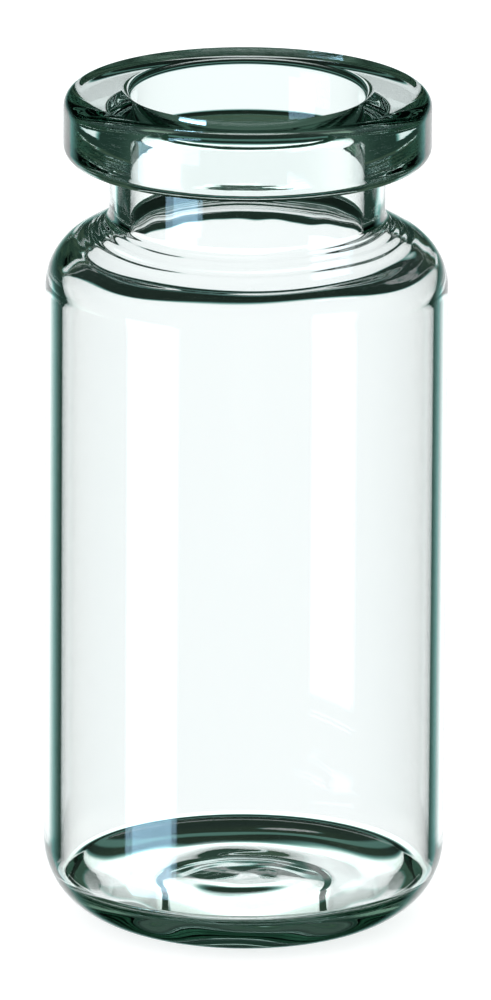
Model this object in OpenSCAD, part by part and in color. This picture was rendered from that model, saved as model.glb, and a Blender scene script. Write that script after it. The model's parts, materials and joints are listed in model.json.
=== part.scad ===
// Crimp-neck sample vial, drawn from clear glass tube and made in one piece.
//
// The glass is one section turned about the Z axis. It is the outer form less the hollow,
// and both are built the same way: straight chords first, then a true arc on every corner.
// The glass is thin along the body and thick at the shoulder, the finish and the base, so the
// inner corners have radii and heights of their own.
// Z = 0 is the table and +Z points out of the mouth. All sizes are in millimetres.

/* [Body] */
// Outside diameter of the body
body_d = 21.9; // [21.6:0.1:24]
// Height from the table to the sealing face
total_h = 46.5; // [38:0.5:60]
// Thickness of the body wall
wall_t = 0.85; // [0.6:0.05:1.1]

/* [Finish] */
// Outside diameter of the crimp flange
flange_d = 20; // [19.7:0.1:20.2]
// Height of the crimp flange
flange_h = 3.8; // [3.4:0.1:4]
// Rounding of the upper outer corner of the flange
flange_top_r = 0.95; // [0.4:0.05:1.1]
// Rounding of the lower outer corner of the flange
flange_low_r = 0.8; // [0.4:0.05:1.1]
// Fillet between the underside of the flange and the neck
under_r = 0.2; // [0.15:0.05:0.5]
// Diameter of the bore that takes the stopper
bore_d = 12.7; // [12.5:0.1:13]
// Rounding of the mouth, from the bore to the sealing face
mouth_r = 0.5; // [0.25:0.05:0.6]

/* [Neck and shoulder] */
// Outside diameter of the neck
neck_d = 15; // [14.8:0.1:15.6]
// Straight height of the neck below the flange
neck_h = 3; // [2:0.1:4]
// Rise from the top of the straight body to the foot of the straight neck
shoulder_h = 4.2; // [4.1:0.05:5]
// Outer radius where the body turns into the shoulder
shoulder_r = 3.3; // [2.6:0.1:3.4]
// Outer fillet where the shoulder runs up into the neck
root_r = 0.5; // [0.3:0.05:0.8]
// Inner radius where the body turns into the shoulder
shoulder_inner_r = 1.6; // [1:0.1:2]
// How much higher than the outer corner the inner corner of the shoulder starts
shoulder_inner_up = 0.15; // [0.05:0.05:0.6]
// Inner curve where the shoulder runs up into the bore
root_inner_r = 0.7; // [0.4:0.05:1]
// How far the straight bore runs on below the foot of the straight neck
root_inner_down = 0.5; // [0.2:0.05:0.9]

/* [Base] */
// Radius of the heel next to the wall
heel_r = 4.1; // [3.6:0.1:4.5]
// Larger radius in which the heel runs out onto the standing ring
heel_low_r = 4.6; // [4.2:0.1:5]
// Angle that the heel turns through before the larger radius takes over
heel_turn = 44; // [30:1:60]
// Inner radius of the heel
heel_inner_r = 0.55; // [0.4:0.05:1]
// Thickness of the glass over the standing ring
base_t = 2.4; // [2:0.05:3]
// Width of the flat standing ring
ring_w = 1.45; // [0.8:0.05:1.8]
// Rounding of the inner edge of the standing ring
ring_r = 1.5; // [0.8:0.1:2]
// Height of the push-up under the base
push_up_h = 0.65; // [0.4:0.05:0.9]
// How far the floor inside the base sinks towards its middle
floor_sag = 0.15; // [0.05:0.05:0.3]
// Number of ripple rings that the hot forming left on the floor
ripples = 3; // [1:1:3]
// Distance from the axis to the crest of the first ripple ring
ripple_first = 1.2; // [1.2:0.1:1.6]
// Distance from one ripple ring to the next
ripple_pitch = 3.1; // [2.9:0.1:3.3]
// Height of a ripple above the floor
ripple_h = 0.06; // [0.03:0.01:0.07]
// Radius of the rounded crest of a ripple
ripple_r = 9; // [6:1:10]

/* [Hidden] */
$fn = 180;

clear_glass = [0.80, 0.88, 0.86, 0.45];
over = 1;                           // how far a cutting shape runs past the face it cuts

body_r = body_d / 2;
hollow_r = body_r - wall_t;
neck_r = neck_d / 2;
bore_r = bore_d / 2;
flange_r = flange_d / 2;

flange_z = total_h - flange_h;      // underside of the flange
neck_z = flange_z - neck_h;         // foot of the straight neck
shoulder_z = neck_z - shoulder_h;   // top of the straight body

// Centres of the outer arcs, each as [radius, height]. The two arcs of the heel share the
// normal at the point where one hands over to the other.
heel_dir = [cos(heel_turn), -sin(heel_turn)];
heel_z = heel_low_r + (heel_low_r - heel_r) * heel_dir[1];
heel_c = [body_r - heel_r, heel_z];
heel_low_c = heel_c + (heel_r - heel_low_r) * heel_dir;
shoulder_c = [body_r - shoulder_r, shoulder_z];
root_c = [neck_r + root_r, neck_z];
under_c = [neck_r + under_r, flange_z - under_r];
flange_low_c = [flange_r - flange_low_r, flange_z + flange_low_r];
flange_top_c = [flange_r - flange_top_r, total_h - flange_top_r];
mouth_c = [bore_r + mouth_r, total_h - mouth_r];

// Centres of the inner arcs
heel_inner_c = [hollow_r - heel_inner_r, base_t + heel_inner_r];
shoulder_inner_c = [hollow_r - shoulder_inner_r, shoulder_z + shoulder_inner_up];
root_inner_c = [bore_r + root_inner_r, neck_z - root_inner_down];

// The push-up is a shallow dome that runs tangent into the rounding of the standing ring
ring_c = [heel_low_c[0] - ring_w, ring_r];
push_up_dome = dome_radius(ring_c[0], push_up_h) - ring_r;
push_up_c = [0, push_up_h - push_up_dome];
ring_dir = (ring_c - push_up_c) / norm(ring_c - push_up_c);

// The floor is a shallow dish that starts where the inner corner of the heel ends
floor_r = heel_inner_c[0];
floor_low = base_t - floor_sag;
floor_dish = dome_radius(floor_r, floor_sag);

// Radius of the dome that rises h over a circle of radius r
function dome_radius(r, h) = (r * r + h * h) / (2 * h);

// Height of the floor's dish at distance r from the axis
function floor_at(r) = floor_low + floor_dish - sqrt(floor_dish * floor_dish - r * r);

// Unit normal of the straight slope that leaves one arc (centre a, radius ra) and runs
// into the opposite arc (centre b, radius rb)
function slope_normal(a, ra, b, rb) =
    let (d = b - a, t = atan2(d[1], d[0]) - acos((ra + rb) / norm(d)))
    [cos(t), sin(t)];

module arc_at(centre, r) {
    translate(centre) circle(r = r);
}

// The part of a circle that lies between two directions from its centre
module arc_between(centre, r, from, to) {
    intersection() {
        arc_at(centre, r);
        polygon([centre, centre + 2 * r * from, centre + 2 * r * to]);
    }
}

// Outer form of the glass, from the axis outward
module outer_section() {
    n = slope_normal(shoulder_c, shoulder_r, root_c, root_r);
    difference() {
        union() {
            polygon([
                [0, 0], [heel_low_c[0], 0], heel_low_c + heel_low_r * heel_dir,
                [body_r, heel_z], [body_r, shoulder_z], shoulder_c + shoulder_r * n,
                root_c - root_r * n, [neck_r, neck_z],
                [neck_r, under_c[1]], [under_c[0], flange_z],
                [flange_low_c[0], flange_z], [flange_r, flange_low_c[1]],
                [flange_r, flange_top_c[1]], [flange_top_c[0], total_h],
                [0, total_h]
            ]);
            arc_between(heel_low_c, heel_low_r, [0, -1], heel_dir);
            arc_at(heel_c, heel_r);
            arc_at(shoulder_c, shoulder_r);
            arc_at(flange_low_c, flange_low_r);
            arc_at(flange_top_c, flange_top_r);
        }
        arc_at(root_c, root_r);
        arc_at(under_c, under_r);
    }
}

// Hollow inside the glass, open upward through the bore
module hollow_section() {
    n = slope_normal(shoulder_inner_c, shoulder_inner_r, root_inner_c, root_inner_r);
    difference() {
        union() {
            polygon([
                [0, base_t], [heel_inner_c[0], base_t], [hollow_r, heel_inner_c[1]],
                [hollow_r, shoulder_inner_c[1]], shoulder_inner_c + shoulder_inner_r * n,
                root_inner_c - root_inner_r * n, [bore_r, root_inner_c[1]],
                [bore_r, mouth_c[1]], [mouth_c[0], total_h],
                [mouth_c[0], total_h + over], [0, total_h + over]
            ]);
            arc_at(heel_inner_c, heel_inner_r);
            arc_at(shoulder_inner_c, shoulder_inner_r);
            dish_section();
        }
        arc_at(root_inner_c, root_inner_r);
        arc_at(mouth_c, mouth_r);
        ripple_section();
    }
}

// Dish of the floor, below the level where the floor meets the heel. Its circle is so large
// that it takes more steps than the others.
module dish_section() {
    intersection() {
        arc_at([0, floor_low + floor_dish], floor_dish, $fn = 8 * $fn);
        translate([0, floor_low - over]) square([floor_r, floor_sag + over]);
    }
}

// Crests of the ripple rings that stand up out of the dish
module ripple_section() {
    for (i = [0:ripples - 1]) {
        r = ripple_first + i * ripple_pitch;
        arc_at([r, floor_at(r) + ripple_h - ripple_r], ripple_r);
    }
}

// Space pressed up under the base, inside the standing ring
module push_up_section() {
    arc_at(push_up_c, push_up_dome);
    difference() {
        polygon([[0, -over], [ring_c[0], -over], [ring_c[0], 0], push_up_c + push_up_dome * ring_dir]);
        arc_at(ring_c, ring_r);
    }
}

// Half of the vial cut through its axis
module glass_section() {
    difference() {
        outer_section();
        hollow_section();
        push_up_section();
    }
}

module vial() {
    color(clear_glass) rotate_extrude() glass_section();
}

vial();
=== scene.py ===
"""Clear glass crimp-neck sample vial on a plain pale floor. Metres, in the part's own frame."""
import json
import math

import bpy
from mathutils import Matrix, Vector


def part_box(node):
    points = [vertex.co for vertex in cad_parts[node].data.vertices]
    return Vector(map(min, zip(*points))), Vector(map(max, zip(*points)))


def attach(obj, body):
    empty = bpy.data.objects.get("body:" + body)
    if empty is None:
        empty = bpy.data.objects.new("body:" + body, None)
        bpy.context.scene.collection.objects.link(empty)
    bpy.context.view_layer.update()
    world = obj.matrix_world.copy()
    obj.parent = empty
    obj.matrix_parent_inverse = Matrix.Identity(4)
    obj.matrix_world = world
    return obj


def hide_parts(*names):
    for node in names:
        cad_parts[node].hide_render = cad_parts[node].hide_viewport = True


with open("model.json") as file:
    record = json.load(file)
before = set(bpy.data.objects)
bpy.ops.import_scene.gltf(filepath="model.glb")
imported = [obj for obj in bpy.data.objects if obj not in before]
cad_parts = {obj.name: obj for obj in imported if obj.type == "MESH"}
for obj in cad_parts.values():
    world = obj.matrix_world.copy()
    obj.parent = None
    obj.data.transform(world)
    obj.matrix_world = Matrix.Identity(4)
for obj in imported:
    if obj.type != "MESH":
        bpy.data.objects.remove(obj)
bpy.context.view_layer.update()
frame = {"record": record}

MM = 0.001
DEG = math.radians(1)

# ---------------------------------------------------------------- sizes from the frame
_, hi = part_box("vial")
mounts = {m["name"]: m for m in frame["record"]["mounts"]}
body_r = hi.x
total_h = hi.z
bore_r = mounts["mouth_bore"]["dims"]["r_mm"] * MM
flange_r = mounts["crimp_flange"]["dims"]["r_mm"] * MM
flange_z = mounts["crimp_seat"]["pos_m"][2]

# ---------------------------------------------------------------- sizes of the glass
wall_t = 0.85 * MM
flange_top_r = 0.95 * MM
flange_low_r = 0.8 * MM
under_r = 0.2 * MM          # fillet between the flange and the neck
mouth_r = 0.5 * MM
neck_r = 7.5 * MM
neck_h = 3.0 * MM
shoulder_h = 4.2 * MM
shoulder_r = 3.3 * MM
root_r = 0.5 * MM           # fillet between the shoulder and the neck
shoulder_inner_r = 1.6 * MM
shoulder_inner_up = 0.15 * MM
root_inner_r = 0.7 * MM
root_inner_down = 0.5 * MM
heel_r = 4.1 * MM
heel_low_r = 4.6 * MM       # larger radius in which the heel runs out onto the standing ring
heel_turn = 44              # degrees that the heel turns through before the larger radius
heel_inner_r = 0.55 * MM
base_t = 2.4 * MM
ring_w = 1.45 * MM          # flat standing ring
ring_r = 1.5 * MM           # rounding of its inner edge
push_up_h = 0.65 * MM
floor_sag = 0.15 * MM
ripple_first = 1.2 * MM     # distance from the axis to the first crest
ripple_pitch = 3.1 * MM
ripple_h = 0.06 * MM
ripple_fade = 3.3 * MM      # width over which the ripples die out towards the heel

hollow_r = body_r - wall_t
neck_z = flange_z - neck_h
shoulder_z = neck_z - shoulder_h
floor_r = hollow_r - heel_inner_r
floor_z = base_t - floor_sag

TURNS = 320                 # steps round the axis
LONG = 0.4 * MM             # stretches of the section longer than this are shaded flat
GUARD = 0.03 * MM           # distance from their ends to the points that see to it


# ---------------------------------------------------------------- marks that hot forming left inside
def places(start, *offsets):
    """Places in metres that lie so many millimetres beyond a start."""
    return [start + offset * MM for offset in offsets]


# Where each mark starts, is full, begins to fade and is gone. All are heights but RING_SPAN,
# which is measured from the axis.
BODY_SPAN = places(base_t, 0.05, 0.54) + places(shoulder_z, 0.2, 2.5)
SHOULDER_SPAN = places(shoulder_z, 0.2, 1.4, 3.5, 5.0)
ROOT_SPAN = places(shoulder_z, 2.7, 3.7, 4.5, 5.7)
FOLD_SPAN = places(shoulder_z, 0.1, 0.9, 2.8, 3.4)
RING_SPAN = places(0, 0, 1.5, 7.5, 9.5)
FINE_FROM = places(shoulder_z, 1.6, 2.4)    # the finer folds start here and don't fade
WALL_FROM = places(base_t, 0.6, 2.6)        # the floor's marks have ended here

OFF_CENTRE = 0.05 * MM      # how far the hollow stands off the axis
SHOULDER_OUT = 0.02 * MM    # how far the inner shoulder strays outward, and upward
SHOULDER_UP = 0.04 * MM
ROOT_OUT = 0.005 * MM       # how far the curve into the bore strays
RING_UP = 0.012 * MM        # how uneven the floor is
RING_TWIST = 400            # radians per metre by which its waves turn on the way out
FOLD_UP = 0.012 * MM        # height of the folds in the shoulder
FOLD_UP_SIDES = 0.002 * MM  # what they gain at the sides
FOLD_RATE = 7400            # radians per metre of radius, for the folds and the finer ones
FINE_RATE = 12100
FOLD_START = 2.6
FINE_SHARE = 0.75           # height of the finer folds against the others
FINE_SHARE_SIDES = 0.45     # what they gain at the sides


def ease(value, low, high):
    """0 below low and 1 above high, in a smooth rise."""
    t = max(0.0, min(1.0, (value - low) / (high - low)))
    return t * t * (3 - 2 * t)


def within(value, span):
    """1 inside a span and 0 outside it, with a smooth rise and fall."""
    start, full, fade, gone = span
    return ease(value, start, full) * (1 - ease(value, fade, gone))


def wave(angle, *terms):
    """A sum of waves round the axis. Each term is how many there are, their height and where they start."""
    return sum(h * math.sin(n * angle + start) for n, h, start in terms)


def folds(angle, r, z):
    """Height of the folds on the inside of the shoulder."""
    sides = math.cos(angle) ** 2
    phase = 0.5 * wave(angle, (1, 1.0, 0.7), (3, 0.6, 1.5))
    coarse = math.sin(FOLD_RATE * r + phase - FOLD_START)
    fine = math.sin(FINE_RATE * r - 2 * phase + FOLD_START)
    fine *= ease(z, *FINE_FROM) * (FINE_SHARE + FINE_SHARE_SIDES * sides)
    return (FOLD_UP + FOLD_UP_SIDES * sides) * (coarse + fine)


def drift(angle, r, z):
    """How far hot forming left a point of the inside from its true place, outward and upward."""
    shoulder = within(z, SHOULDER_SPAN)
    rings = (1 - ease(z, *WALL_FROM)) * within(r, RING_SPAN)
    out = within(z, BODY_SPAN) * OFF_CENTRE * math.cos(angle)
    out += shoulder * SHOULDER_OUT * wave(angle, (2, 1.0, 0.4), (5, 0.8, 2.0), (9, 0.5, 1.1))
    out += within(z, ROOT_SPAN) * ROOT_OUT * wave(angle, (11, 1.0, 0.3), (17, 0.9, 1.9), (26, 0.6, 2.7))
    up = shoulder * SHOULDER_UP * wave(angle, (1, 1.0, 1.9), (4, 0.7, 0.3), (7, 0.6, 2.6))
    up += within(z, FOLD_SPAN) * folds(angle, r, z)
    up += rings * RING_UP * wave(angle + RING_TWIST * r, (2, 1.0, 0.9), (3, 1.0, 2.2), (5, 0.6, 0.2))
    return out, up


# ---------------------------------------------------------------- the section of the glass
def arc(centre, r, start, end, steps):
    """Points on an arc of the section, from the angle start to end in degrees."""
    out = []
    for i in range(steps + 1):
        t = (start + (end - start) * i / steps) * DEG
        out.append((centre[0] + r * math.cos(t), centre[1] + r * math.sin(t)))
    return out


def line(a, b, steps):
    """Points inside the straight stretch from a to b, without its ends."""
    return [(a[0] + (b[0] - a[0]) * i / steps, a[1] + (b[1] - a[1]) * i / steps) for i in range(1, steps)]


def guarded(pts):
    """The points, with one more close to each end of every long stretch, so that it is shaded flat."""
    out = [pts[0]]
    for a, b in zip(pts, pts[1:]):
        length = math.dist(a, b)
        if length > LONG:
            near = GUARD / length
            out.append((a[0] + (b[0] - a[0]) * near, a[1] + (b[1] - a[1]) * near))
            out.append((b[0] - (b[0] - a[0]) * near, b[1] - (b[1] - a[1]) * near))
        out.append(b)
    return out


def slope_angle(a, ra, b, rb):
    """Angle of the normal of the slope that leaves one arc and runs into the opposite one."""
    d = Vector(b) - Vector(a)
    return (math.atan2(d.y, d.x) - math.acos((ra + rb) / d.length)) / DEG


def dome_radius(r, h):
    """Radius of the dome that rises h over a circle of radius r."""
    return (r * r + h * h) / (2 * h)


def floor_height(r):
    """Height of the dished and rippled floor at distance r from the axis."""
    dish = dome_radius(floor_r, floor_sag)
    crest = 0.5 + 0.5 * math.cos(2 * math.pi * (r - ripple_first) / ripple_pitch)
    ripples = ripple_h * crest * ease(floor_r - r, 0, ripple_fade)
    return floor_z + dish - math.sqrt(dish * dish - r * r) + ripples


def outer_points():
    """The outside of the glass, from the middle of the push-up to the middle of the sealing face."""
    turn_dir = Vector((math.cos(heel_turn * DEG), -math.sin(heel_turn * DEG)))
    heel = Vector((body_r - heel_r, heel_low_r + (heel_low_r - heel_r) * turn_dir.y))
    heel_low = heel + (heel_r - heel_low_r) * turn_dir
    ring = (heel_low.x - ring_w, ring_r)
    dome = dome_radius(ring[0], push_up_h) - ring_r
    dome_end = math.atan2(ring_r + dome - push_up_h, ring[0]) / DEG
    shoulder = (body_r - shoulder_r, shoulder_z)
    root = (neck_r + root_r, neck_z)
    under = (neck_r + under_r, flange_z - under_r)
    low = (flange_r - flange_low_r, flange_z + flange_low_r)
    top = (flange_r - flange_top_r, total_h - flange_top_r)
    slope = slope_angle(shoulder, shoulder_r, root, root_r)

    pts = arc((0, push_up_h - dome), dome, 90, dome_end, 16)
    pts += arc(ring, ring_r, 180 + dome_end, 270, 4)
    pts += arc(heel_low, heel_low_r, -90, -heel_turn, 14)
    pts += arc(heel, heel_r, -heel_turn, 0, 12)[1:]
    pts += arc(shoulder, shoulder_r, 0, slope, 16)
    pts += arc(root, root_r, 180 + slope, 180, 8)
    pts += arc(under, under_r, 180, 90, 6)
    pts += arc(low, flange_low_r, -90, 0, 10)
    pts += arc(top, flange_top_r, 0, 90, 12)
    return pts


def inner_points():
    """The inside of the glass, from the mouth's rounding down to the middle of the floor."""
    mouth = (bore_r + mouth_r, total_h - mouth_r)
    root = (bore_r + root_inner_r, neck_z - root_inner_down)
    shoulder = (hollow_r - shoulder_inner_r, shoulder_z + shoulder_inner_up)
    heel = (floor_r, base_t + heel_inner_r)
    slope = slope_angle(shoulder, shoulder_inner_r, root, root_inner_r)
    slope_end = (shoulder[0] + shoulder_inner_r * math.cos(slope * DEG),
                 shoulder[1] + shoulder_inner_r * math.sin(slope * DEG))

    pts = arc(mouth, mouth_r, 90, 180, 10)
    pts += line((bore_r, mouth[1]), (bore_r, root[1]), 20)
    pts += arc(root, root_inner_r, 180, 180 + slope, 8)
    pts += line(pts[-1], slope_end, 52)
    pts += arc(shoulder, shoulder_inner_r, slope, 0, 14)
    pts += line((hollow_r, shoulder[1]), (hollow_r, heel[1]), 2)
    pts += arc(heel, heel_inner_r, 0, -90, 12)
    steps = 60
    for i in range(1, steps + 1):
        r = floor_r * (1 - i / steps)
        pts.append((r, floor_height(r)))
    return pts


def turned(pts, shift=None):
    """Rings of points round the axis, one for each point of a section."""
    rings = []
    for r, z in pts:
        ring = []
        for k in range(TURNS):
            a = 2 * math.pi * k / TURNS
            out, up = shift(a, r, z) if shift else (0, 0)
            ring.append(((r + out) * math.cos(a), (r + out) * math.sin(a), z + up))
        rings.append(ring)
    return rings


def lathe(name, rings, first, last):
    """One closed mesh from rings of points, with the points first and last on the axis at its ends."""
    verts = [first] + [v for ring in rings for v in ring] + [last]
    end = 1 + (len(rings) - 1) * TURNS
    faces = []
    for k in range(TURNS):
        n = (k + 1) % TURNS
        faces.append((0, 1 + n, 1 + k))
        for a in range(1, end, TURNS):
            faces.append((a + k, a + n, a + TURNS + n, a + TURNS + k))
        faces.append((end + k, end + n, len(verts) - 1))
    mesh = bpy.data.meshes.new(name)
    mesh.from_pydata(verts, [], faces)
    mesh.validate()
    mesh.shade_smooth()
    obj = bpy.data.objects.new(name, mesh)
    bpy.context.collection.objects.link(obj)
    return obj


# ---------------------------------------------------------------- node helpers
class Nodes:
    """Short names for making and linking the nodes of one tree."""

    def __init__(self, tree):
        self.tree = tree
        tree.nodes.clear()

    def link(self, value, socket):
        """Puts a number, a colour or another node's output on a socket."""
        if isinstance(value, bpy.types.NodeSocket):
            self.tree.links.new(value, socket)
        else:
            socket.default_value = value

    def add(self, kind, output=0, **inputs):
        made = self.tree.nodes.new("ShaderNode" + kind)
        for key, value in inputs.items():
            self.link(value, made.inputs[key.replace("_", " ")])
        return made.outputs[output]

    def split(self, vector):
        """The x, y and z of a vector."""
        made = self.tree.nodes.new("ShaderNodeSeparateXYZ")
        self.link(vector, made.inputs[0])
        return made.outputs

    def math(self, op, *args):
        made = self.tree.nodes.new("ShaderNodeMath")
        made.operation = op
        for socket, value in zip(made.inputs, args):
            self.link(value, socket)
        return made.outputs[0]

    def both(self, a, b):
        """The product of two values. For two masks it is where both hold."""
        return self.math("MULTIPLY", a, b)

    def opposite(self, value):
        """Turns a mask round."""
        return self.math("SUBTRACT", 1.0, value)

    def step(self, value, low, high):
        """0 below low and 1 above high, in a smooth rise."""
        made = self.tree.nodes.new("ShaderNodeMapRange")
        made.interpolation_type = "SMOOTHSTEP"
        made.inputs["From Min"].default_value = low
        made.inputs["From Max"].default_value = high
        self.link(value, made.inputs["Value"])
        return made.outputs[0]

    def inside(self, value, low, high, soft):
        """1 between low and high and 0 outside, with edges that are 2 soft wide."""
        rise = self.step(value, low - soft, low + soft)
        fall = self.step(value, high - soft, high + soft)
        return self.math("SUBTRACT", rise, fall)

    def mix(self, factor, a, b):
        """Colour a where the factor is 0 and b where it is 1."""
        made = self.tree.nodes.new("ShaderNodeMix")
        made.data_type = "RGBA"
        self.link(factor, made.inputs["Factor"])
        self.link(a, made.inputs["A"])
        self.link(b, made.inputs["B"])
        return made.outputs["Result"]

    def blend(self, factor, a, b):
        """Mixes two shaders."""
        made = self.tree.nodes.new("ShaderNodeMixShader")
        self.link(factor, made.inputs[0])
        self.link(a, made.inputs[1])
        self.link(b, made.inputs[2])
        return made.outputs[0]

    def output(self, kind, **inputs):
        made = self.tree.nodes.new("ShaderNodeOutput" + kind)
        for key, value in inputs.items():
            self.link(value, made.inputs[key])


# ---------------------------------------------------------------- materials
REFRACTION = 1.5
GLASS_TINT = (0.55, 0.80, 0.74, 1)      # what the glass lets through at GLASS_DENSITY
GLASS_DENSITY = 60.0
GLASS_SHADOW = (0.93, 0.96, 0.95, 1)    # what is left of the light in its shadow
DRAW_SCALE = (900, 900, 12)             # draw lines up the tube
DRAW_SHARE = 0.15                       # their height against the tooling marks
TOOL_SCALE = (160, 160, 5200)           # tooling marks round the finish
TOOL_FROM = flange_z - 0.2 * MM
TOOL_FULL = flange_z + 0.4 * MM
MARK_STRENGTH = 0.12
MARK_HEIGHT = 0.02 * MM
SMUDGE_SCALE = 220.0
SMUDGE_FROM = 0.52                      # values of the noise between which a smudge sets in
SMUDGE_FULL = 0.75
SMUDGE_ROUGHNESS = 0.02
FLOOR_PALE = (0.9, 0.9, 0.9, 1)
FLOOR_GLOW = 0.7                        # what the camera sees on the floor beside the light on it


def new_material(name):
    """A material and its empty tree."""
    mat = bpy.data.materials.new(name)
    mat.use_nodes = True
    return mat, Nodes(mat.node_tree)


def glass_marks(n, place):
    """Faint draw lines up the tube, and fine tooling marks round the finish, as a normal."""
    upright = n.add("Mapping", Vector=place, Scale=DRAW_SCALE)
    draw_lines = n.add("TexNoise", Vector=upright, Scale=1.0, Detail=2.0)
    around = n.add("Mapping", Vector=place, Scale=TOOL_SCALE)
    tool_marks = n.add("TexNoise", Vector=around, Scale=1.0, Detail=3.0)
    finish = n.step(n.split(place)[2], TOOL_FROM, TOOL_FULL)
    height = n.mix(finish, n.both(draw_lines, DRAW_SHARE), tool_marks)
    return n.add("Bump", Height=height, Strength=MARK_STRENGTH, Distance=MARK_HEIGHT)


def glass_material():
    """Clear glass with a faint green body colour, faint marks and here and there a smudge."""
    mat, n = new_material("clear_glass")
    place = n.add("TexCoord", "Object")
    smudge = n.add("TexNoise", Vector=place, Scale=SMUDGE_SCALE, Detail=4.0)
    rough = n.both(n.step(smudge, SMUDGE_FROM, SMUDGE_FULL), SMUDGE_ROUGHNESS)
    glass = n.add("BsdfPrincipled", Base_Color=(1, 1, 1, 1), IOR=REFRACTION, Transmission_Weight=1.0,
                  Roughness=rough, Normal=glass_marks(n, place))
    clear = n.add("BsdfTransparent", Color=GLASS_SHADOW)
    shadow = n.add("LightPath", "Is Shadow Ray")
    tint = n.add("VolumeAbsorption", Color=GLASS_TINT, Density=GLASS_DENSITY)
    n.output("Material", Surface=n.blend(shadow, glass, clear), Volume=tint)
    return mat


def floor_material():
    """Pale floor whose colour makes it white to the camera, and which keeps the shadow."""
    mat, n = new_material("pale_floor")
    pale = n.add("BsdfDiffuse", Color=FLOOR_PALE)
    camera = n.add("LightPath", "Is Camera Ray")
    glow = n.add("Emission", Strength=n.both(camera, FLOOR_GLOW))
    total = n.tree.nodes.new("ShaderNodeAddShader")
    n.link(pale, total.inputs[0])
    n.link(glow, total.inputs[1])
    n.output("Material", Surface=total.outputs[0])
    return mat


# ---------------------------------------------------------------- the vial
outside = guarded(outer_points())
inside = guarded(inner_points())
vial = lathe("vial_glass", turned(outside[1:]) + turned(inside[:-1], drift),
             (0, 0, outside[0][1]), (0, 0, inside[-1][1]))
vial.data.materials.append(glass_material())
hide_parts("vial")
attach(vial, "root")

# ---------------------------------------------------------------- floor
FLOOR_HALF = 3.0
floor_mesh = bpy.data.meshes.new("floor")
floor_mesh.from_pydata([(-FLOOR_HALF, -FLOOR_HALF, 0), (FLOOR_HALF, -FLOOR_HALF, 0),
                        (FLOOR_HALF, FLOOR_HALF, 0), (-FLOOR_HALF, FLOOR_HALF, 0)], [], [(0, 1, 2, 3)])
floor = bpy.data.objects.new("floor", floor_mesh)
bpy.context.collection.objects.link(floor)
floor.data.materials.append(floor_material())
floor.visible_glossy = False
floor.visible_transmission = False

# ---------------------------------------------------------------- lit parts of the studio
# Azimuth 0 is straight behind the vial. Heights are angles above the level. Each soft value is half
# the width of an edge, and each pair is where a change starts and where it is complete.
BAND_LOW = -31 * DEG        # the band all round the vial, which light that is only bent sees
BAND_LOW_SOFT = 3 * DEG
BAND_HIGH = 4 * DEG
BAND_FADE = 6 * DEG         # height over which the band falls off at its top
SIDE_FROM = 10 * DEG        # the band is a little brighter between these azimuths
SIDE_TO = 26 * DEG
SIDE_SOFT = 6 * DEG
BENT_DROP = (18.5 * DEG, 21.5 * DEG)    # so far below the level the band is at its brightest
SLOT_LEVEL = 16 * DEG       # two slots behind the vial, above and below the level, which light
SLOT_HALF = 3 * DEG         # that bounced inside the glass sees
SLOT_SOFT = 1.5 * DEG
SLOT_SPREAD = 21 * DEG      # half of their width
SLOT_SPREAD_SOFT = 6 * DEG
PANEL_HALF = 41 * DEG       # the panel behind the vial, which the outside of the glass mirrors
PANEL_SOFT = 9 * DEG
PANEL_LOW = -34 * DEG
PANEL_HIGH = -4 * DEG
PANEL_END_SOFT = 8 * DEG
RIM_FROM = 33 * DEG         # its sides are teal from here on
RIM_SOFT = 4 * DEG
STRIP_AT = -123 * DEG       # azimuth of the tall soft box at the camera's left
STRIP_HALF = 15 * DEG
STRIP_SOFT = 1 * DEG
STRIP_LOW = -32 * DEG       # its ends as the outside of the glass mirrors it
STRIP_HIGH = 0 * DEG
STRIP_END_SOFT = 1.5 * DEG
STRIP_INNER = 3 * DEG       # half of the height at which the inside mirrors it
EDGE_SHARE = 0.25           # a lit part falls off in the colour EDGE once its share is this small

LIT = (1.13, 1.16, 1.17, 1)             # the band, the slots and the middle of the panel
BRIGHT = (1.38, 1.40, 1.40, 1)          # the sides of the band
BRIGHTEST = (1.60, 1.78, 1.72, 1)       # its lowest part
PALE = (1.10, 1.13, 1.14, 1)            # all of it, through one wall of the glass
RIM = (0.50, 1.15, 1.12, 1)             # the sides of the panel
EDGE = (0.45, 1.0, 0.92, 1)
STRIP_COLOUR = (3.1, 5.2, 6.8, 1)       # the tall soft box
FILL = (0.6, 0.6, 0.6, 1)               # what lights the floor
WHITE = (1, 1, 1, 1)                    # what the camera sees behind the vial

# ---------------------------------------------------------------- unlit parts of the studio
CEILING_RISE = (5 * DEG, 12 * DEG)      # the ceiling starts above the band
CEILING_MID_RISE = (22 * DEG, 32 * DEG)
CEILING_HIGH_RISE = (48 * DEG, 56 * DEG)
CEILING_SIDE_FROM = 60 * DEG            # azimuths between which its middle is paler
CEILING_SIDE_TO = 120 * DEG
CEILING_SOFT = 6 * DEG
CEILING_TURN = (105 * DEG, 135 * DEG)   # it is dark again on the camera's side
ROOM_TURN = (50 * DEG, 100 * DEG)       # the room is paler from here round to the camera
LINE_LOW = -43 * DEG                    # a line round the vial, below the band
LINE_HIGH = -38.5 * DEG
LINE_SOFT = 1 * DEG
TABLE_DROP = (60 * DEG, 68 * DEG)       # the table, as seen from straight above

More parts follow.
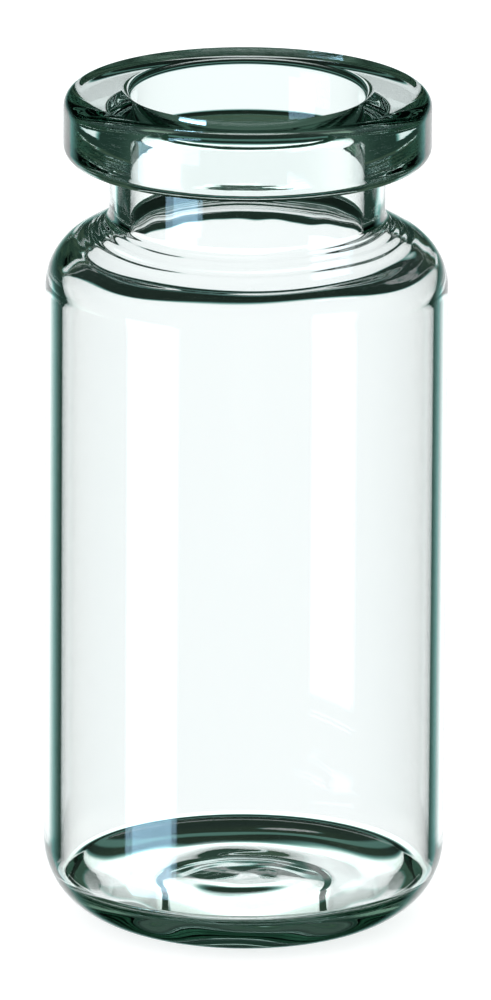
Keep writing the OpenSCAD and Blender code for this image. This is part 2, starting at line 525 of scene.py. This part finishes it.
CEILING_LOW = (0.065, 0.105, 0.07, 1)
CEILING_MID = (0.05, 0.075, 0.07, 1)
CEILING_SIDE = (0.30, 0.42, 0.33, 1)
CEILING_HIGH = (0.08, 0.10, 0.09, 1)
CEILING_BENT = (0.004, 0.008, 0.006, 1)     # all of the ceiling, for light that is only bent
ROOM_BACK = (0.02, 0.045, 0.035, 1)         # the room behind the vial
ROOM = (0.08, 0.15, 0.115, 1)
DARK = (0.005, 0.010, 0.008, 1)             # the room, for light that didn't bounce inside the glass
LINE = (0.09, 0.20, 0.17, 1)
TABLE = (0.95, 1.0, 1.0, 1)


class Studio(Nodes):
    """The world's tree. It knows each ray's direction and what the ray did in the glass."""

    def __init__(self, tree):
        super().__init__(tree)
        x, y, z = self.split(self.add("TexCoord", "Generated"))
        self.azimuth = self.math("ARCTAN2", x, y)
        self.turned_off = self.math("ABSOLUTE", self.azimuth)
        self.height = self.math("ARCSINE", z)
        self.drop = self.math("MULTIPLY", self.height, -1)
        # The depths count the surfaces that a ray went through or was mirrored by
        path = self.tree.nodes.new("ShaderNodeLightPath").outputs
        self.camera = path["Is Camera Ray"]
        self.mirrored = path["Is Glossy Ray"]
        self.through = self.math("GREATER_THAN", path["Transmission Depth"], 0.5)
        self.one_wall = self.math("LESS_THAN", path["Transmission Depth"], 2.5)
        self.bounced = self.math("GREATER_THAN", path["Glossy Depth"], 0.5)
        self.bounced_once = self.math("LESS_THAN", path["Glossy Depth"], 1.5)
        self.only_bent = self.both(self.through, self.opposite(self.bounced))

    def near(self, direction, half, soft):
        """1 within half of an azimuth, and 0 outside, round the full turn."""
        off = self.math("ABSOLUTE", self.math("SUBTRACT", self.azimuth, direction))
        off = self.math("SUBTRACT", math.pi, self.math("ABSOLUTE", self.math("SUBTRACT", math.pi, off)))
        return self.opposite(self.step(off, half - soft, half + soft))


def lit_share(n):
    """How much of a lit part a ray sees: the mirrored panel, the band or the slots."""
    panel = n.both(n.near(0, PANEL_HALF, PANEL_SOFT),
                   n.inside(n.height, PANEL_LOW, PANEL_HIGH, PANEL_END_SOFT))
    band = n.math("SUBTRACT", n.step(n.height, BAND_LOW - BAND_LOW_SOFT, BAND_LOW + BAND_LOW_SOFT),
                  n.step(n.height, BAND_HIGH - BAND_FADE, BAND_HIGH))
    off_level = n.math("ABSOLUTE", n.height)
    slots = n.inside(off_level, SLOT_LEVEL - SLOT_HALF, SLOT_LEVEL + SLOT_HALF, SLOT_SOFT)
    slots = n.both(n.near(0, SLOT_SPREAD, SLOT_SPREAD_SOFT), slots)
    return n.mix(n.through, panel, n.mix(n.bounced, band, slots))


def lit_colour(n):
    """Colour of the lit parts."""
    panel = n.mix(n.near(0, RIM_FROM, RIM_SOFT), RIM, LIT)
    band = n.mix(n.inside(n.turned_off, SIDE_FROM, SIDE_TO, SIDE_SOFT), LIT, BRIGHT)
    band = n.mix(n.step(n.drop, *BENT_DROP), band, BRIGHTEST)
    band = n.mix(n.one_wall, band, PALE)
    return n.mix(n.through, panel, n.mix(n.bounced, band, LIT))


def ceiling_colour(n):
    """Colour of the ceiling that light bounced inside the glass sees."""
    sides = n.inside(n.turned_off, CEILING_SIDE_FROM, CEILING_SIDE_TO, CEILING_SOFT)
    middle = n.mix(sides, CEILING_MID, CEILING_SIDE)
    ceiling = n.mix(n.step(n.height, *CEILING_MID_RISE), CEILING_LOW, middle)
    ceiling = n.mix(n.step(n.height, *CEILING_HIGH_RISE), ceiling, CEILING_HIGH)
    return n.mix(n.step(n.turned_off, *CEILING_TURN), ceiling, CEILING_LOW)


def unlit_colour(n):
    """Colour of everything else: the ceiling, the room below it, the line and the table."""
    room = n.mix(n.step(n.turned_off, *ROOM_TURN), ROOM_BACK, ROOM)
    room = n.mix(n.both(n.through, n.bounced), DARK, room)
    ceiling = n.mix(n.bounced, CEILING_BENT, ceiling_colour(n))
    unlit = n.mix(n.both(n.through, n.step(n.height, *CEILING_RISE)), room, ceiling)
    unlit = n.mix(n.both(n.inside(n.height, LINE_LOW, LINE_HIGH, LINE_SOFT), n.only_bent), unlit, LINE)
    return n.mix(n.both(n.step(n.drop, *TABLE_DROP), n.only_bent), unlit, TABLE)


def strip_share(n):
    """How much of the tall soft box a ray sees. The outside of the glass mirrors all of it, and the
    inside a short piece, each only once."""
    tall = n.inside(n.height, STRIP_LOW, STRIP_HIGH, STRIP_END_SOFT)
    short = n.inside(n.drop, SLOT_LEVEL - STRIP_INNER, SLOT_LEVEL + STRIP_INNER, STRIP_SOFT)
    facing = n.both(n.near(STRIP_AT, STRIP_HALF, STRIP_SOFT), n.both(n.bounced, n.bounced_once))
    return n.both(facing, n.mix(n.through, tall, short))


def make_world():
    """White studio round the vial: a bright band at the level of the view, with a dark ceiling above
    it, and a dark room, a faint line and a pale table below it. Light that the glass only bends sees
    the band all round. Light that bounces inside the glass leaves it through two slots behind the
    vial. The outside of the glass mirrors a panel behind the vial and a tall soft box at the
    camera's left."""
    world = bpy.data.worlds.new("studio")
    bpy.context.scene.world = world
    world.use_nodes = True
    n = Studio(world.node_tree)
    share = lit_share(n)
    lit = n.mix(n.step(share, EDGE_SHARE, 1.0), EDGE, lit_colour(n))
    seen = n.mix(share, unlit_colour(n), lit)
    seen = n.mix(strip_share(n), seen, STRIP_COLOUR)
    result = n.mix(n.math("MAXIMUM", n.through, n.mirrored), FILL, seen)
    result = n.mix(n.camera, result, WHITE)
    n.output("World", Surface=n.add("Background", Color=result))


def soft_box(name, azimuth, distance, width, height, centre_z, radiance, tint):
    """A tall soft box at an azimuth about the vial, 0 being the camera's side, facing the vial.
    It gives light and shadow only. Its mirror image in the glass is in the world."""
    data = bpy.data.lights.new(name, "AREA")
    data.shape = "RECTANGLE"
    data.size = width
    data.size_y = height
    data.energy = radiance * math.pi * width * height
    data.color = tint
    lamp = bpy.data.objects.new(name, data)
    bpy.context.collection.objects.link(lamp)
    lamp.visible_glossy = False
    lamp.visible_transmission = False
    away = Vector((math.sin(azimuth), -math.cos(azimuth), 0))
    side = Vector((0, 0, 1)).cross(away)
    turn = Matrix((side, Vector((0, 0, 1)), away)).transposed().to_4x4()
    lamp.matrix_world = Matrix.Translation(away * distance + Vector((0, 0, centre_z))) @ turn


make_world()
soft_box("soft_box_left", azimuth=-57 * DEG, distance=1.0, width=0.50, height=1.0, centre_z=0.55,
         radiance=3.0, tint=(0.9, 0.98, 1.0))

# ---------------------------------------------------------------- camera
ELEVATION = 16.1 * DEG      # the camera looks down by this
DISTANCE = 0.9
AIM_Z = 23.38 * MM          # height of the point on the axis that is in the middle of the picture
ROLL = 0.353 * DEG
PIXELS_PER_MM = 18.35       # at the axis
IMAGE_H = 1000
SENSOR = 36.0
NEAREST = 0.01
FARTHEST = 20
cam_data = bpy.data.cameras.new("camera")
cam_data.sensor_width = SENSOR
cam_data.lens = PIXELS_PER_MM * DISTANCE / MM / IMAGE_H * SENSOR
cam_data.clip_start = NEAREST
cam_data.clip_end = FARTHEST
cam = bpy.data.objects.new("camera", cam_data)
bpy.context.collection.objects.link(cam)
forward = Vector((0, math.cos(ELEVATION), -math.sin(ELEVATION)))
right = Vector((1, 0, 0))
up = right.cross(forward)
cam_x = math.cos(ROLL) * right + math.sin(ROLL) * up
cam_y = math.cos(ROLL) * up - math.sin(ROLL) * right
cam.matrix_world = (Matrix.Translation(Vector((0, 0, AIM_Z)) - forward * DISTANCE)
                    @ Matrix((cam_x, cam_y, -forward)).transposed().to_4x4())
scene = bpy.context.scene
scene.camera = cam

# Light crosses many surfaces of the thick base and finish, and bounces between them
MAX_BOUNCES = 24
GLOSSY_BOUNCES = 16
scene.view_settings.view_transform = "Standard"
scene.cycles.max_bounces = MAX_BOUNCES
scene.cycles.transmission_bounces = MAX_BOUNCES
scene.cycles.glossy_bounces = GLOSSY_BOUNCES
